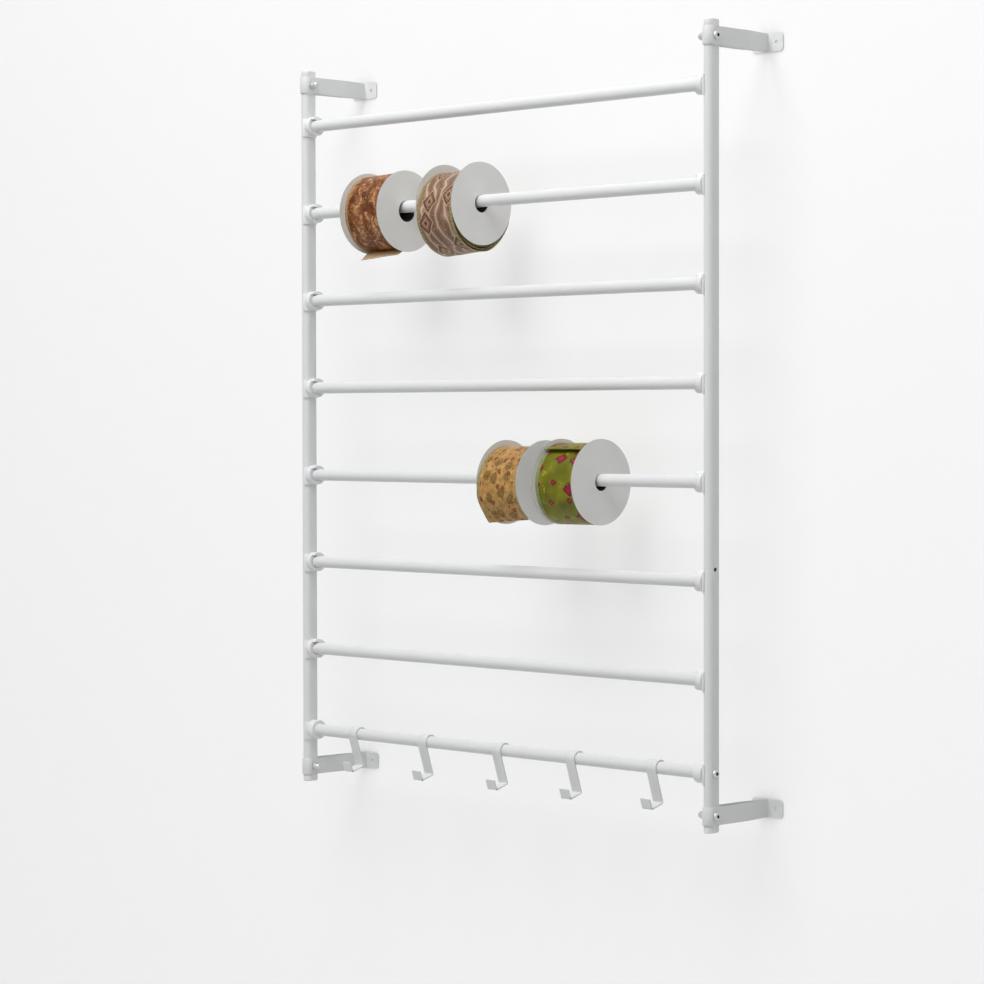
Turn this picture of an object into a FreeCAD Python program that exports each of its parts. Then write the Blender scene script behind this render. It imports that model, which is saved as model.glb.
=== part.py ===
import FreeCAD, Part
import math
import os

# Wall rack that dispenses ribbon from spools: two flat-oval posts stand off the wall on four
# bent strap brackets, lift-out rods lie in slotted holders between them, and a fixed bottom
# rod carries snap-on hooks.
# Frame: millimetres. X runs to the right along the wall, Y into the wall, Z up. The origin is on
# the wall plane, at the centre of the pattern of screw holes in the bracket feet.
# The pieces that sit on a post are made on the left post, whose inner flat faces +X, and are
# mirrored for the right one.

V = FreeCAD.Vector
X_AXIS = V(1, 0, 0)
Y_AXIS = V(0, 1, 0)
Z_AXIS = V(0, 0, 1)
ORIGIN = V(0, 0, 0)

# ---- overall layout ----
post_spacing = 740.0        # between the axes of the two posts
post_height = 982.0         # with both end caps
wall_standoff = 105.5       # from the wall to the post axis
top_rod_drop = 77.5         # from the top of the post down to the first rod
lift_out_rods = 7           # evenly spaced
bottom_rod_drop = 112.5     # from the last lift-out rod down to the bottom rod
bottom_rod_rise = 72.0      # from the foot of the post up to the bottom rod
bracket_inset = 20.5        # from the end of a post to the middle of its strap

# ---- posts: flat-oval steel tube ----
post_width = 13.0
post_depth = 21.5
post_wall = 1.2
spare_hole_rise = 14.5      # above the last rod but one, in the outer flat of the right post
spare_hole_radius = 2.6

# ---- end caps: moulded plugs ----
cap_head = 8.5
cap_chamfer = 1.2
cap_plug_length = 8.0
cap_plug_wall = 1.6
cap_clearance = 0.1

# ---- strap brackets: bent flat steel ----
strap_width = 22.0
strap_thickness = 1.5
strap_clearance = 0.1       # between the strap and the post
strap_parallel = 61.0       # how far the legs run parallel behind the post axis
strap_closing_gap = 0.5     # between the two legs where they meet at the wall
strap_leg_radius = 10.0     # inside the bend where the legs start to close in
strap_foot_radius = 2.2     # inside the bend where a leg turns out into its foot
foot_reach = 24.5           # from the bracket's middle plane to the end of a foot
foot_corner = 4.5
foot_hole_radius = 2.5
foot_hole_offset = 14.0     # from the bracket's middle plane

# ---- fasteners: button-head bolts and screws, cap nuts ----
bolt_radius = 3.0
bolt_clearance = 0.15
bolt_end_gap = 1.0          # from the end of a bolt to the bottom of its nut
screw_radius = 2.5
screw_bite = 6.0            # how far a socket screw runs into the stem of its socket
pilot_spare = 1.0           # how much deeper the pilot hole is
thread_clearance = 0.05
head_radius = 5.4
head_height = 3.3
head_rim = 0.9
head_crown_radius = 3.3
hex_socket = 4.0            # across flats
hex_socket_depth = 2.0
nut_flats = 10.0
nut_hex_height = 5.5
nut_height = 12.0
nut_dome_radius = 4.6
nut_shoulder = 9.5          # height at which the dome closes in
nut_shoulder_radius = 4.1
nut_crown_radius = 1.8
nut_bore_depth = 9.0

# ---- rods: round steel tube ----
rod_radius = 8.0
rod_wall = 1.0
rod_end_gap = 0.8           # from the end of a lift-out rod to the floor of its holder
fixed_end_gap = 0.5         # the same at the bottom rod

# ---- holders and bottom sockets: mouldings ----
saddle_height = 24.5
saddle_drop = 1.6           # from the rod axis down to the middle of the saddle
saddle_wall = 1.8
saddle_clearance = 0.05
saddle_wrap = 75.0          # degrees of the post's noses that the saddle covers
cup_depth = 12.5            # from the post's flat to the rim
cup_floor = 8.0             # from the post's flat to the bottom of the pocket
cup_radius = 12.9
cup_clearance = 0.3         # around a lift-out rod
socket_clearance = 0.05     # around the bottom rod
slot_rise = 6.0             # degrees above the horizontal, towards the front
slot_parallel = 6.0         # how far the slot stays parallel from the rod axis
slot_flare = 0.5            # how much wider each side of the slot is at the cup's outside
stem_side = 7.0             # square, so that the slot keeps its direction
stem_length = 7.0
stem_taper = 1.0
stem_clearance = 0.1

# ---- hooks: bent flat spring steel, snapped over the bottom rod ----
hook_width = 16.0
hook_thickness = 1.8
hook_clearance = 0.3
hook_lean = 17.5            # degrees from the vertical
hook_back_wrap = 20.0       # degrees of wrap below the horizontal, behind the rod
hook_shank = 43.0
hook_seat = 21.0
hook_lip = 13.5
hook_bend_radius = 1.2      # inside the two square bends
hook_places = (-272.0, -133.5, 7.5, 140.5, 279.5)

# ---- ribbon spools: card flanges on a card core ----
flange_radius = 54.2
flange_thickness = 1.0
core_wall = 2.5
spool_clearance = 0.3       # between the top of the bore and the rod that carries it
ribbon_side_gap = 0.4       # between the ribbon and each flange
# name: its rod, outer faces of the flanges, bore radius, winding radius, then the radius and
# the sag of the loose outer turn
spools = {
    "a": ("rod_2", -244.0, -170.4, 14.3, 44.5, 46.5, 2.0),
    "b": ("rod_2", -94.2, -27.3, 11.7, 41.0, 51.0, 11.0),
    "c": ("rod_5", 18.2, 89.5, 13.0, 44.5, 48.0, 4.5),
    "d": ("rod_5", 116.6, 186.9, 11.0, 45.0, 49.5, 4.5),
}

# ---- values that follow from the ones above ----
post_x = post_spacing / 2
post_y = -wall_standoff
post_top = post_height / 2
flat_x = post_width / 2                     # from a post's axis to its flat sides
nose_y = post_depth / 2 - post_width / 2    # from a post's axis to the centre of each nose
bracket_z = post_top - bracket_inset
bottom_rod_z = bottom_rod_rise - post_top
last_rod_z = bottom_rod_z + bottom_rod_drop
rod_pitch = (post_top - top_rod_drop - last_rod_z) / (lift_out_rods - 1)
rod_heights = [last_rod_z + rod_pitch * i for i in reversed(range(lift_out_rods))]
rod_z = {"rod_%d" % number: z for number, z in enumerate(rod_heights, 1)}
SIDES = {"left": -1, "right": 1}
same_place = 0.01                           # two edges closer than this are at the same place


def save(node, shape):
    shape.exportStep("parts/" + node + ".step")


def cylinder(radius, length, start, direction):
    return Part.makeCylinder(radius, length, start, direction)


def prism(points, extrusion):
    """A solid with straight sides, from the corners of one face."""
    return Part.Face(Part.makePolygon(points + [points[0]])).extrude(extrusion)


def turned(points):
    """A solid of revolution about the X axis, from the corners of its half section."""
    return Part.Face(Part.makePolygon(points + [points[0]])).revolve(ORIGIN, X_AXIS, 360)


def hexagon(across_flats, height, start_x):
    """A hexagonal prism along the X axis."""
    corner = across_flats / math.sqrt(3)
    angles = [math.radians(60 * i) for i in range(6)]
    ring = [V(start_x, corner * math.cos(a), corner * math.sin(a)) for a in angles]
    return prism(ring, X_AXIS * height)


def flat_oval(grow, z, height):
    """A solid with the post's flat-oval outline, larger by grow all round."""
    r = flat_x + grow
    right = Part.LineSegment(V(r, -nose_y, z), V(r, nose_y, z))
    back = Part.Arc(V(r, nose_y, z), V(0, nose_y + r, z), V(-r, nose_y, z))
    left = Part.LineSegment(V(-r, nose_y, z), V(-r, -nose_y, z))
    front = Part.Arc(V(-r, -nose_y, z), V(0, -nose_y - r, z), V(r, -nose_y, z))
    edges = [curve.toShape() for curve in (right, back, left, front)]
    return Part.Face(Part.Wire(edges)).extrude(Z_AXIS * height)


def rounded_path(points, radii):
    """Edges of straight runs between the points, joined at each inner one by a tangent arc."""
    edges = []
    start = points[0]
    for before, corner, after, radius in zip(points, points[1:], points[2:], radii):
        towards = (before - corner).normalize()
        away = (after - corner).normalize()
        half_turn = (math.pi - towards.getAngle(away)) / 2
        reach = radius * math.tan(half_turn)
        bisector = (towards + away).normalize()
        middle = corner + bisector * (radius / math.cos(half_turn) - radius)
        arc = Part.Arc(corner + towards * reach, middle, corner + away * reach)
        edges.append(Part.LineSegment(start, corner + towards * reach).toShape())
        edges.append(arc.toShape())
        start = corner + away * reach
    edges.append(Part.LineSegment(start, points[-1]).toShape())
    return edges


def bent_strip(line, thickness, width, across):
    """Bent flat stock. The line is its middle, given as edges in one plane."""
    middle = Part.Wire(line)
    one_side = middle.makeOffset2D(thickness / 2, 0, True, True)
    other_side = middle.makeOffset2D(-thickness / 2, 0, True, True)
    face = one_side.fuse(other_side).removeSplitter()
    blank = face.extrude(across * width)
    blank.translate(across * (-width / 2))
    return blank.Solids[0]


def on_post(shape, side, z):
    """A copy of a piece, at its height on one of the posts."""
    piece = shape.mirror(ORIGIN, X_AXIS) if side > 0 else shape.copy()
    piece.translate(V(side * post_x, post_y, z))
    return piece


# ---- posts ----
def post(side):
    """Flat-oval tube between its end caps, drilled for the bolts and punched for the stems."""
    length = post_height - 2 * cap_head
    tube = flat_oval(0, -length / 2, length)
    tube = tube.cut(flat_oval(-post_wall, -length / 2, length))
    for z in (-bracket_z, bracket_z):
        start = V(-post_width, 0, z)
        tube = tube.cut(cylinder(bolt_radius + bolt_clearance, 2 * post_width, start, X_AXIS))
    opening = stem_side + 2 * stem_clearance
    for z in rod_heights + [bottom_rod_z]:
        start = V(0, -opening / 2, z - opening / 2)
        tube = tube.cut(Part.makeBox(post_width, opening, opening, start))
    start = V(-post_width, 0, bottom_rod_z)
    tube = tube.cut(cylinder(screw_radius + bolt_clearance, post_width, start, X_AXIS))
    if side > 0:
        start = V(-post_width, 0, rod_heights[-2] + spare_hole_rise)
        tube = tube.cut(cylinder(spare_hole_radius, post_width, start, X_AXIS))
    return on_post(tube, side, 0)


# ---- end caps ----
def end_cap():
    """Hollow plug with a head of the post's outline, which starts at z = 0 and points up."""
    head = flat_oval(0, 0, cap_head)
    rim = [edge for edge in head.Edges if edge.BoundBox.ZMin > cap_head - same_place]
    head = head.makeChamfer(cap_chamfer, rim)
    inside_post = -post_wall - cap_clearance
    plug = flat_oval(inside_post, -cap_plug_length, cap_plug_length)
    hollow = flat_oval(inside_post - cap_plug_wall, -cap_plug_length, cap_plug_length)
    return head.fuse(plug.cut(hollow)).removeSplitter()


# ---- strap brackets ----
def foot_corners(strap):
    """The four short edges at the ends of a strap's two feet."""
    corners = []
    for edge in strap.Edges:
        box = edge.BoundBox
        at_end = min(abs(box.XMin), abs(box.XMax)) > foot_reach - same_place
        through = box.YLength > strap_thickness / 2 and box.ZLength < same_place
        if at_end and through:
            corners.append(edge)
    return corners


def strap_bracket():
    """Strap round the front of the post. Its legs close in at the wall and turn out into feet."""
    half = strap_thickness / 2
    leg_x = flat_x + strap_clearance + half
    meet_x = strap_closing_gap / 2 + half
    foot_y = wall_standoff - half
    start = V(leg_x, -nose_y, 0)
    bend = V(leg_x, strap_parallel, 0)
    heel = V(meet_x, foot_y, 0)
    toe = V(foot_reach, foot_y, 0)
    radii = (strap_leg_radius + half, strap_foot_radius + half)
    right = rounded_path([start, bend, heel, toe], radii)
    left = [edge.mirror(ORIGIN, X_AXIS) for edge in right]
    front = Part.Arc(start, V(0, -nose_y - leg_x, 0), V(-leg_x, -nose_y, 0)).toShape()
    line = right[::-1] + [front] + left
    strap = bent_strip(line, strap_thickness, strap_width, Z_AXIS)
    strap = strap.makeFillet(foot_corner, foot_corners(strap))
    for x in (-foot_hole_offset, foot_hole_offset):
        start = V(x, strap_parallel, 0)
        strap = strap.cut(cylinder(foot_hole_radius, wall_standoff, start, Y_AXIS))
    start = V(-post_width, 0, 0)
    return strap.cut(cylinder(bolt_radius + bolt_clearance, 2 * post_width, start, X_AXIS))


# ---- fasteners ----
def button_head(shank_radius, length, seat_x):
    """Raised head with a hexagon socket. Its shank runs along +X from the seat."""
    top_x = seat_x - head_height
    end_x = seat_x + length
    body = turned([
        V(top_x, 0, 0),
        V(top_x, head_crown_radius, 0),
        V(seat_x - head_rim, head_radius, 0),
        V(seat_x, head_radius, 0),
        V(seat_x, shank_radius, 0),
        V(end_x, shank_radius, 0),
        V(end_x, 0, 0),
    ])
    return body.cut(hexagon(hex_socket, hex_socket_depth, top_x))


def bracket_bolt(seat):
    """Bolt through a strap and its post, from the outer side into the cap nut."""
    length = 2 * seat + nut_bore_depth - bolt_end_gap
    return button_head(bolt_radius, length, -seat)


def cap_nut(seat):
    """Hexagon nut with a domed cap and a blind bore, standing along +X on the seat."""
    dome = turned([
        V(seat, 0, 0),
        V(seat, nut_dome_radius, 0),
        V(seat + nut_hex_height, nut_dome_radius, 0),
        V(seat + nut_shoulder, nut_shoulder_radius, 0),
        V(seat + nut_height, nut_crown_radius, 0),
        V(seat + nut_height, 0, 0),
    ])
    nut = dome.fuse(hexagon(nut_flats, nut_hex_height, seat))
    bore = cylinder(bolt_radius + thread_clearance, nut_bore_depth, V(seat, 0, 0), X_AXIS)
    return nut.cut(bore).removeSplitter()


def socket_screw():
    """Screw through the post's outer flat into the stem of a bottom socket."""
    return button_head(screw_radius, post_width - stem_length + screw_bite, -flat_x)


# ---- holders and bottom sockets ----
def saddle():
    """Plate on the post's inner flat, which wraps round most of both noses."""
    bottom = -saddle_drop - saddle_height / 2
    shell = flat_oval(saddle_clearance + saddle_wall, bottom, saddle_height)
    shell = shell.cut(flat_oval(saddle_clearance, bottom, saddle_height))
    edge_x = flat_x * math.cos(math.radians(saddle_wrap))
    corner = V(edge_x, -post_depth, bottom)
    return shell.common(Part.makeBox(post_width, 2 * post_depth, saddle_height, corner))


def stem():
    """Square peg with a tapered tip, through the punched wall of the post."""
    half = stem_side / 2
    base = flat_x + saddle_wall
    tip = flat_x - stem_length
    side_view = [
        V(base, -half, -half),
        V(tip + stem_taper, -half, -half),
        V(tip, -half, stem_taper - half),
        V(tip, -half, half - stem_taper),
        V(tip + stem_taper, -half, half),
        V(base, -half, half),
    ]
    return prism(side_view, Y_AXIS * stem_side)


def cup(bore_radius):
    """Round cup on its saddle and stem."""
    start = V(flat_x + saddle_clearance, 0, 0)
    body = cylinder(cup_radius, cup_depth - saddle_clearance, start, X_AXIS)
    body = body.fuse(saddle()).fuse(stem())
    bore = cylinder(bore_radius, cup_depth, V(flat_x + cup_floor, 0, 0), X_AXIS)
    return body.cut(bore)


def rod_holder():
    """Open cup: the rod drops in through a slot that rises towards the front."""
    floor = flat_x + cup_floor
    half = rod_radius + cup_clearance
    far = 2 * cup_radius
    flare = slot_flare * (far - slot_parallel) / (cup_radius - slot_parallel)
    mouth = half + flare
    outline = [
        V(floor, 0, -half),
        V(floor, -slot_parallel, -half),
        V(floor, -far, -mouth),
        V(floor, -far, mouth),
        V(floor, -slot_parallel, half),
        V(floor, 0, half),
    ]
    slot = prism(outline, X_AXIS * cup_depth)
    slot.rotate(ORIGIN, X_AXIS, -slot_rise)
    return cup(half).cut(slot).removeSplitter()


def bottom_socket():
    """Closed cup for the bottom rod, with a pilot hole for the screw in its stem."""
    body = cup(rod_radius + socket_clearance)
    start = V(flat_x - stem_length, 0, 0)
    pilot = cylinder(screw_radius + thread_clearance, screw_bite + pilot_spare, start, X_AXIS)
    return body.cut(pilot).removeSplitter()


# ---- rods ----
def rod(z, end_gap):
    half = post_x - flat_x - cup_floor - end_gap
    start = V(-half, post_y, z)
    tube = cylinder(rod_radius, 2 * half, start, X_AXIS)
    return tube.cut(cylinder(rod_radius - rod_wall, 2 * half, start, X_AXIS))


# ---- hooks ----
def hook(x):
    """Open ring over the rod, a leaning shank, a square seat and a lip."""
    r = rod_radius + hook_clearance + hook_thickness / 2
    lean = math.radians(hook_lean)

    def on_ring(degrees):
        angle = math.radians(degrees)
        return V(0, r * math.cos(angle), r * math.sin(angle))

    ring = Part.Arc(on_ring(-hook_back_wrap), on_ring(90), on_ring(180 + hook_lean)).toShape()
    down = V(0, math.sin(lean), -math.cos(lean))
    forward = V(0, -math.cos(lean), -math.sin(lean))
    top = on_ring(180 + hook_lean)
    heel = top + down * hook_shank
    toe = heel + forward * hook_seat
    tip = toe - down * hook_lip
    bend = hook_bend_radius + hook_thickness / 2
    line = [ring] + rounded_path([top, heel, toe, tip], (bend, bend))
    piece = bent_strip(line, hook_thickness, hook_width, X_AXIS)
    piece.translate(V(x, post_y, bottom_rod_z))
    return piece


# ---- spools ----
def ring_between(x_low, x_high, outer, inner, z):
    start = V(x_low, post_y, z)
    disc = cylinder(outer, x_high - x_low, start, X_AXIS)
    return disc.cut(cylinder(inner, x_high - x_low, start, X_AXIS))


def ribbon(x_low, x_high, winding, turn, sag, core, z):
    """The wound ribbon with its loose outer turn, which hangs lower than the rest."""
    width = x_high - x_low
    start = V(x_low, post_y, z)
    body = cylinder(winding, width, start, X_AXIS)
    body = body.fuse(cylinder(turn, width, start - Z_AXIS * sag, X_AXIS))
    return body.cut(cylinder(core, width, start, X_AXIS)).removeSplitter()


def save_spool(name, rod_name, x_low, x_high, bore, winding, turn, sag):
    """Hangs from its rod by the play in its bore."""
    z = rod_z[rod_name] - (bore - rod_radius - spool_clearance)
    inner_low = x_low + flange_thickness
    inner_high = x_high - flange_thickness
    core = bore + core_wall
    left_flange = ring_between(x_low, inner_low, flange_radius, bore, z)
    right_flange = ring_between(inner_high, x_high, flange_radius, bore, z)
    tube = ring_between(inner_low, inner_high, core, bore, z)
    ribbon_low = inner_low + ribbon_side_gap
    ribbon_high = inner_high - ribbon_side_gap
    save("spool_" + name + "_left_flange", left_flange)
    save("spool_" + name + "_right_flange", right_flange)
    save("spool_" + name + "_core", tube)
    save("ribbon_" + name, ribbon(ribbon_low, ribbon_high, winding, turn, sag, core, z))


def save_post_pieces(side_name, side, pieces):
    """Everything that one post carries, apart from the fasteners."""
    save(side_name + "_post", post(side))
    top_cap = pieces["cap"].copy()
    top_cap.translate(Z_AXIS * (post_top - cap_head))
    save(side_name + "_top_cap", on_post(top_cap, side, 0))
    save(side_name + "_bottom_cap", on_post(top_cap.mirror(ORIGIN, Z_AXIS), side, 0))
    save(side_name + "_upper_bracket", on_post(pieces["strap"], side, bracket_z))
    save(side_name + "_lower_bracket", on_post(pieces["strap"], side, -bracket_z))
    for number, z in enumerate(rod_heights, 1):
        save("%s_holder_%d" % (side_name, number), on_post(pieces["holder"], side, z))
    save(side_name + "_bottom_socket", on_post(pieces["socket"], side, bottom_rod_z))


def main():
    os.makedirs("parts", exist_ok=True)
    pieces = {
        "cap": end_cap(),
        "strap": strap_bracket(),
        "holder": rod_holder(),
        "socket": bottom_socket(),
    }
    seat = flat_x + strap_clearance + strap_thickness
    bolt = bracket_bolt(seat)
    nut = cap_nut(seat)
    screw = socket_screw()
    corners = [(side, z) for side in SIDES.values() for z in (bracket_z, -bracket_z)]
    for side_name, side in SIDES.items():
        save_post_pieces(side_name, side, pieces)
    save("bracket_bolts", Part.makeCompound([on_post(bolt, side, z) for side, z in corners]))
    save("cap_nuts", Part.makeCompound([on_post(nut, side, z) for side, z in corners]))
    screws = [on_post(screw, side, bottom_rod_z) for side in SIDES.values()]
    save("socket_screws", Part.makeCompound(screws))
    for name, z in rod_z.items():
        save(name, rod(z, rod_end_gap))
    save("bottom_rod", rod(bottom_rod_z, fixed_end_gap))
    for number, x in enumerate(hook_places, 1):
        save("hook_%d" % number, hook(x))
    for name, values in spools.items():
        save_spool(name, *values)


main()
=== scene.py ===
"""Finishes, wound ribbons and studio of the ribbon spool dispenser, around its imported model."""

import math
import random

import bmesh
import bpy
from bpy.props import FloatProperty, FloatVectorProperty, IntProperty, PointerProperty
from mathutils import Matrix, Vector, noise


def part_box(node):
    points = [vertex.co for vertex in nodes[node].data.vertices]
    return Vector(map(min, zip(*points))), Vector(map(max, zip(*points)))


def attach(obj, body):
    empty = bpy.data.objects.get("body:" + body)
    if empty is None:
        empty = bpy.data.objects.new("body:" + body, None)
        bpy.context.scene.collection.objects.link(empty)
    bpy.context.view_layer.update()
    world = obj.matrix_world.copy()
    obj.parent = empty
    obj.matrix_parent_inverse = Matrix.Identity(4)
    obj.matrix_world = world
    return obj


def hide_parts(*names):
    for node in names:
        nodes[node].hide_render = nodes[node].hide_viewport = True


bl_info = {
    "name": "Ribbon Spool Dispenser",
    "version": (1, 0, 0),
    "blender": (4, 5, 0),
    "location": "View3D > Sidebar > Dispenser",
    "description": "Finishes the rack, winds its ribbons and sets up the studio",
    "category": "Object",
}

MM = 0.001
SPOOLS = "abcd"
SIDES = ("left", "right")
RODS = range(1, 8)
HOOKS = range(1, 6)

# the sockets of a colour mix, which its names don't tell apart
SHARE, FIRST, SECOND, MIXED = 0, 6, 7, 2

# edges of bent and moulded pieces
WELD_DISTANCE = 0.005       # mm
SHARP_EDGE = 35             # degrees

# ribbons, in mm where nothing else is said
RIBBON_MAP = "ribbon"       # a ribbon's own length and width, one unit to the metre
SELVEDGE_START = 4.6        # from the ribbon's edge
SELVEDGE_FULL = 3.4
HEM = (0.0, 0.006, 0.014, 0.022)    # where the thicker edge has its rows, as shares of the width
HEM_WIDTH = 0.8
MARGIN = 0.03               # where the even rows start, as a share of the width
RIPPLE_HEIGHT = 0.5
RIPPLE_LENGTH = 17
RIPPLES_ACROSS = 2.1        # per width
RIPPLE_START = 60           # the length over which the ripples grow
PACK_SEGMENTS = 128
PACK_TURNS = 26             # the turns that show on a pack's ends
GROOVE_WIDTH = 0.25
GROOVE_SPREAD = 0.2         # how much deeper some grooves are
RIM_WIDTH = 0.4             # the softened rim of a pack
RIM_DEPTH = 0.3

# bolts, screws and nuts, in mm, with heights from their seats
FASTENER_SEGMENTS = 60
FASTENER_SHARP_EDGE = 32    # degrees
BOLT_RADIUS = 3.0
BOLT_PAST_NUT_SEAT = 8
SCREW_RADIUS = 2.5
SCREW_LENGTH = 12
POINT = 0.5                 # chamfer at a shank's end
HEAD_RADIUS = 5.4
HEAD_HEIGHT = 3.3
HEAD_RIM = 0.8              # where the dome starts
SOCKET_FLATS = 4
SOCKET_FLOOR = 1.4
SOCKET_RINGS = 2            # the rings of a head's socket, which are its last ones
NUT_FLATS = 10
NUT_CORNERS = 5.65          # the radius that its corners are turned to
NUT_ENDS = 4.9              # and the same at both ends
NUT_HEIGHT = 5.5
CAP_RADIUS = 4.4
CAP_RIM = 7.6               # where the dome starts
CAP_BULGE = 4.3
CAP_TOP = 12.0

# stage, in metres
FLOOR_HEIGHT = -1.4
REACH = 12.0

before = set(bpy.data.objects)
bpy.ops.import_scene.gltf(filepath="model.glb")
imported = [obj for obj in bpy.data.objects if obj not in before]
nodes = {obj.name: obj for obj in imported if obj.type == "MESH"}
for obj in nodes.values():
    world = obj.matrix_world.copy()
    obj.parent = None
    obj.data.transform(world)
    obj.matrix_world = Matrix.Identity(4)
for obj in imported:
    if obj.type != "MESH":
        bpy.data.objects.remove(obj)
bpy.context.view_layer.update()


# ---------------------------------------------------------------- colours and nodes
def linear(hex_colour):
    """An sRGB hex colour as the linear RGBA that shaders use."""
    channels = [int(hex_colour[i:i + 2], 16) / 255 for i in (1, 3, 5)]
    curve = [c / 12.92 if c <= 0.04045 else ((c + 0.055) / 1.055) ** 2.4 for c in channels]
    return (*curve, 1.0)


def toned(colour, factor):
    """A linear colour, made lighter or darker."""
    return [min(1.0, channel * factor) for channel in colour[:3]] + [1.0]


def colour_property(name, hex_colour, description):
    """A colour that a user may change."""
    return FloatVectorProperty(
        name=name, description=description, subtype="COLOR", size=4, min=0, max=1,
        default=linear(hex_colour))


def length_property(name, size, lowest, description):
    """A small length that a user may change, given in mm and kept in metres."""
    return FloatProperty(
        name=name, description=description, subtype="DISTANCE", unit="LENGTH", precision=5,
        default=size * MM, min=lowest * MM)


def per_mm(size):
    """The scale of a texture whose cells are this many millimetres across."""
    return 1 / (size * MM)


def waves_per_mm(size):
    """The scale of a wave texture whose bands are this many millimetres apart."""
    # at a scale of 1 they are tau / 20 apart
    return per_mm(size) * math.tau / 20


def add_node(tree, kind, inputs=None, stops=(), **settings):
    """Adds a node with its settings, its inputs (values or sockets, by name or number) and,
    for a ramp, its stops (position and hex colour)."""
    node = tree.nodes.new(kind)
    for name, value in settings.items():
        setattr(node, name, value)
    for name, value in (inputs or {}).items():
        if isinstance(value, bpy.types.NodeSocket):
            tree.links.new(value, node.inputs[name])
        else:
            node.inputs[name].default_value = value
    for _ in stops[2:]:
        node.color_ramp.elements.new(0.5)
    for i, (position, colour) in enumerate(stops):
        node.color_ramp.elements[i].position = position
        node.color_ramp.elements[i].color = linear(colour)
    return node


def new_material(name, **shader_values):
    """A material with one principled shader. Returns it, its tree and the shader."""
    material = bpy.data.materials.new(name)
    material.use_nodes = True
    tree = material.node_tree
    shader = tree.nodes["Principled BSDF"]
    for key, value in shader_values.items():
        socket = key.replace("_", " ").title().replace("Ior", "IOR")
        shader.inputs[socket].default_value = value
    return material, tree, shader


def two_toned(tree, share, colour, first, second):
    """A colour that goes by a share from one tone of it to another."""
    return add_node(tree, "ShaderNodeMix", {
        SHARE: share, FIRST: toned(colour, first), SECOND: toned(colour, second)},
        data_type="RGBA").outputs[MIXED]


def surface(tree, shader, colour, height, depth, roughness=None):
    """Feeds a colour, heights from 0 to 1 as relief of a depth in mm, and a roughness that
    varies, into the shader."""
    bump = add_node(tree, "ShaderNodeBump", {"Height": height, "Distance": depth * MM})
    tree.links.new(bump.outputs["Normal"], shader.inputs["Normal"])
    tree.links.new(colour, shader.inputs["Base Color"])
    if roughness is not None:
        tree.links.new(roughness, shader.inputs["Roughness"])


# ---------------------------------------------------------------- settings
class FinishSettings(bpy.types.PropertyGroup):
    """Colours and grain of the rack's own finishes."""

    powder_coat: colour_property(
        "Powder coat", "#E4E5E5", "Baked powder coat on posts, straps and rods")
    moulding: colour_property("Moulding", "#ECEDED", "Nylon of holders, sockets and caps")
    plating: colour_property("Plating", "#D2D4D3", "Bright zinc on bolts, nuts and screws")
    # painted shade: this dark colour stands for the shade deep in the sockets of bolts and screws
    recess: colour_property("Recess", "#3F3E3C", "Bare steel in the sockets of bolts and screws")
    card: colour_property("Card", "#EBEAE7", "Paper liner of the spools' flanges")
    chipboard: colour_property("Chipboard", "#A8A39B", "Cut edges of the flanges")
    # painted shade: the cores are toned dark so that the bores through the spools look shaded
    tube: colour_property("Tube", "#4A4641", "Cores of the spools")
    peel: length_property("Orange peel", 1.4, 0.1, "Distance between ripples of the coat")
    edge_round: length_property(
        "Edge rounding", 0.35, 0, "Radius on the edges of bent and moulded pieces")


class RibbonSettings(bpy.types.PropertyGroup):
    """How the ribbons are woven and wound."""

    thickness: length_property("Thickness", 0.4, 0.1, "Thickness of a ribbon")
    edge_wire: length_property("Wired edge", 0.9, 0.1, "Thickness of the wired selvedge")
    step: length_property("Step", 2.2, 0.5, "Length of one division along a ribbon")
    rows: IntProperty(
        name="Rows", description="Divisions across a ribbon's width", default=22, min=6)


class StageSettings(bpy.types.PropertyGroup):
    """Camera, lamps and backdrop."""

    lens: FloatProperty(
        name="Lens", description="Focal length", unit="CAMERA", default=108.38, min=10)
    yaw: FloatProperty(
        name="Yaw", description="Camera's turn to the left", subtype="ANGLE",
        default=math.radians(45.649))
    pitch: FloatProperty(
        name="Pitch", description="Camera's dip", subtype="ANGLE", default=math.radians(1.404))
    roll: FloatProperty(
        name="Roll", description="Camera's roll", subtype="ANGLE", default=math.radians(-0.102))
    eye: FloatVectorProperty(
        name="Eye", description="Where the camera stands", subtype="TRANSLATION",
        default=(2.7404, -2.7930, 0.0096))
    backdrop: colour_property("Backdrop", "#E6E6E6", "Plaster of the wall and floor")
    backdrop_lift: FloatProperty(
        name="Backdrop lift", description="How much paler the plaster is to the camera",
        default=0.58, min=0)
    backdrop_shade: FloatProperty(
        name="Backdrop shade",
        description="How much of the light and shadow on the plaster the camera sees",
        subtype="FACTOR", default=0.5, min=0, max=1)
    room: FloatProperty(name="Room", description="Even light of the room", default=0.31, min=0)
    lamp_place: FloatVectorProperty(
        name="Lamp", description="Where the lamp hangs", subtype="TRANSLATION",
        default=(0.3, -2.2, 2.9))
    lamp_size: FloatProperty(
        name="Lamp size", description="Across the lamp", subtype="DISTANCE", unit="LENGTH",
        default=2.6, min=0.1)
    lamp_power: FloatProperty(
        name="Lamp power", description="Power of the lamp", unit="POWER", default=112, min=0)


# ---------------------------------------------------------------- materials of the rack
def rack_ground(name, **shader_values):
    """A rigid finish's material, tree, shader and place in the rack's frame, and the settings."""
    material, tree, shader = new_material(name, **shader_values)
    place = add_node(tree, "ShaderNodeTexCoord").outputs["Object"]
    return material, tree, shader, place, bpy.context.scene.dispenser_finish


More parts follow.
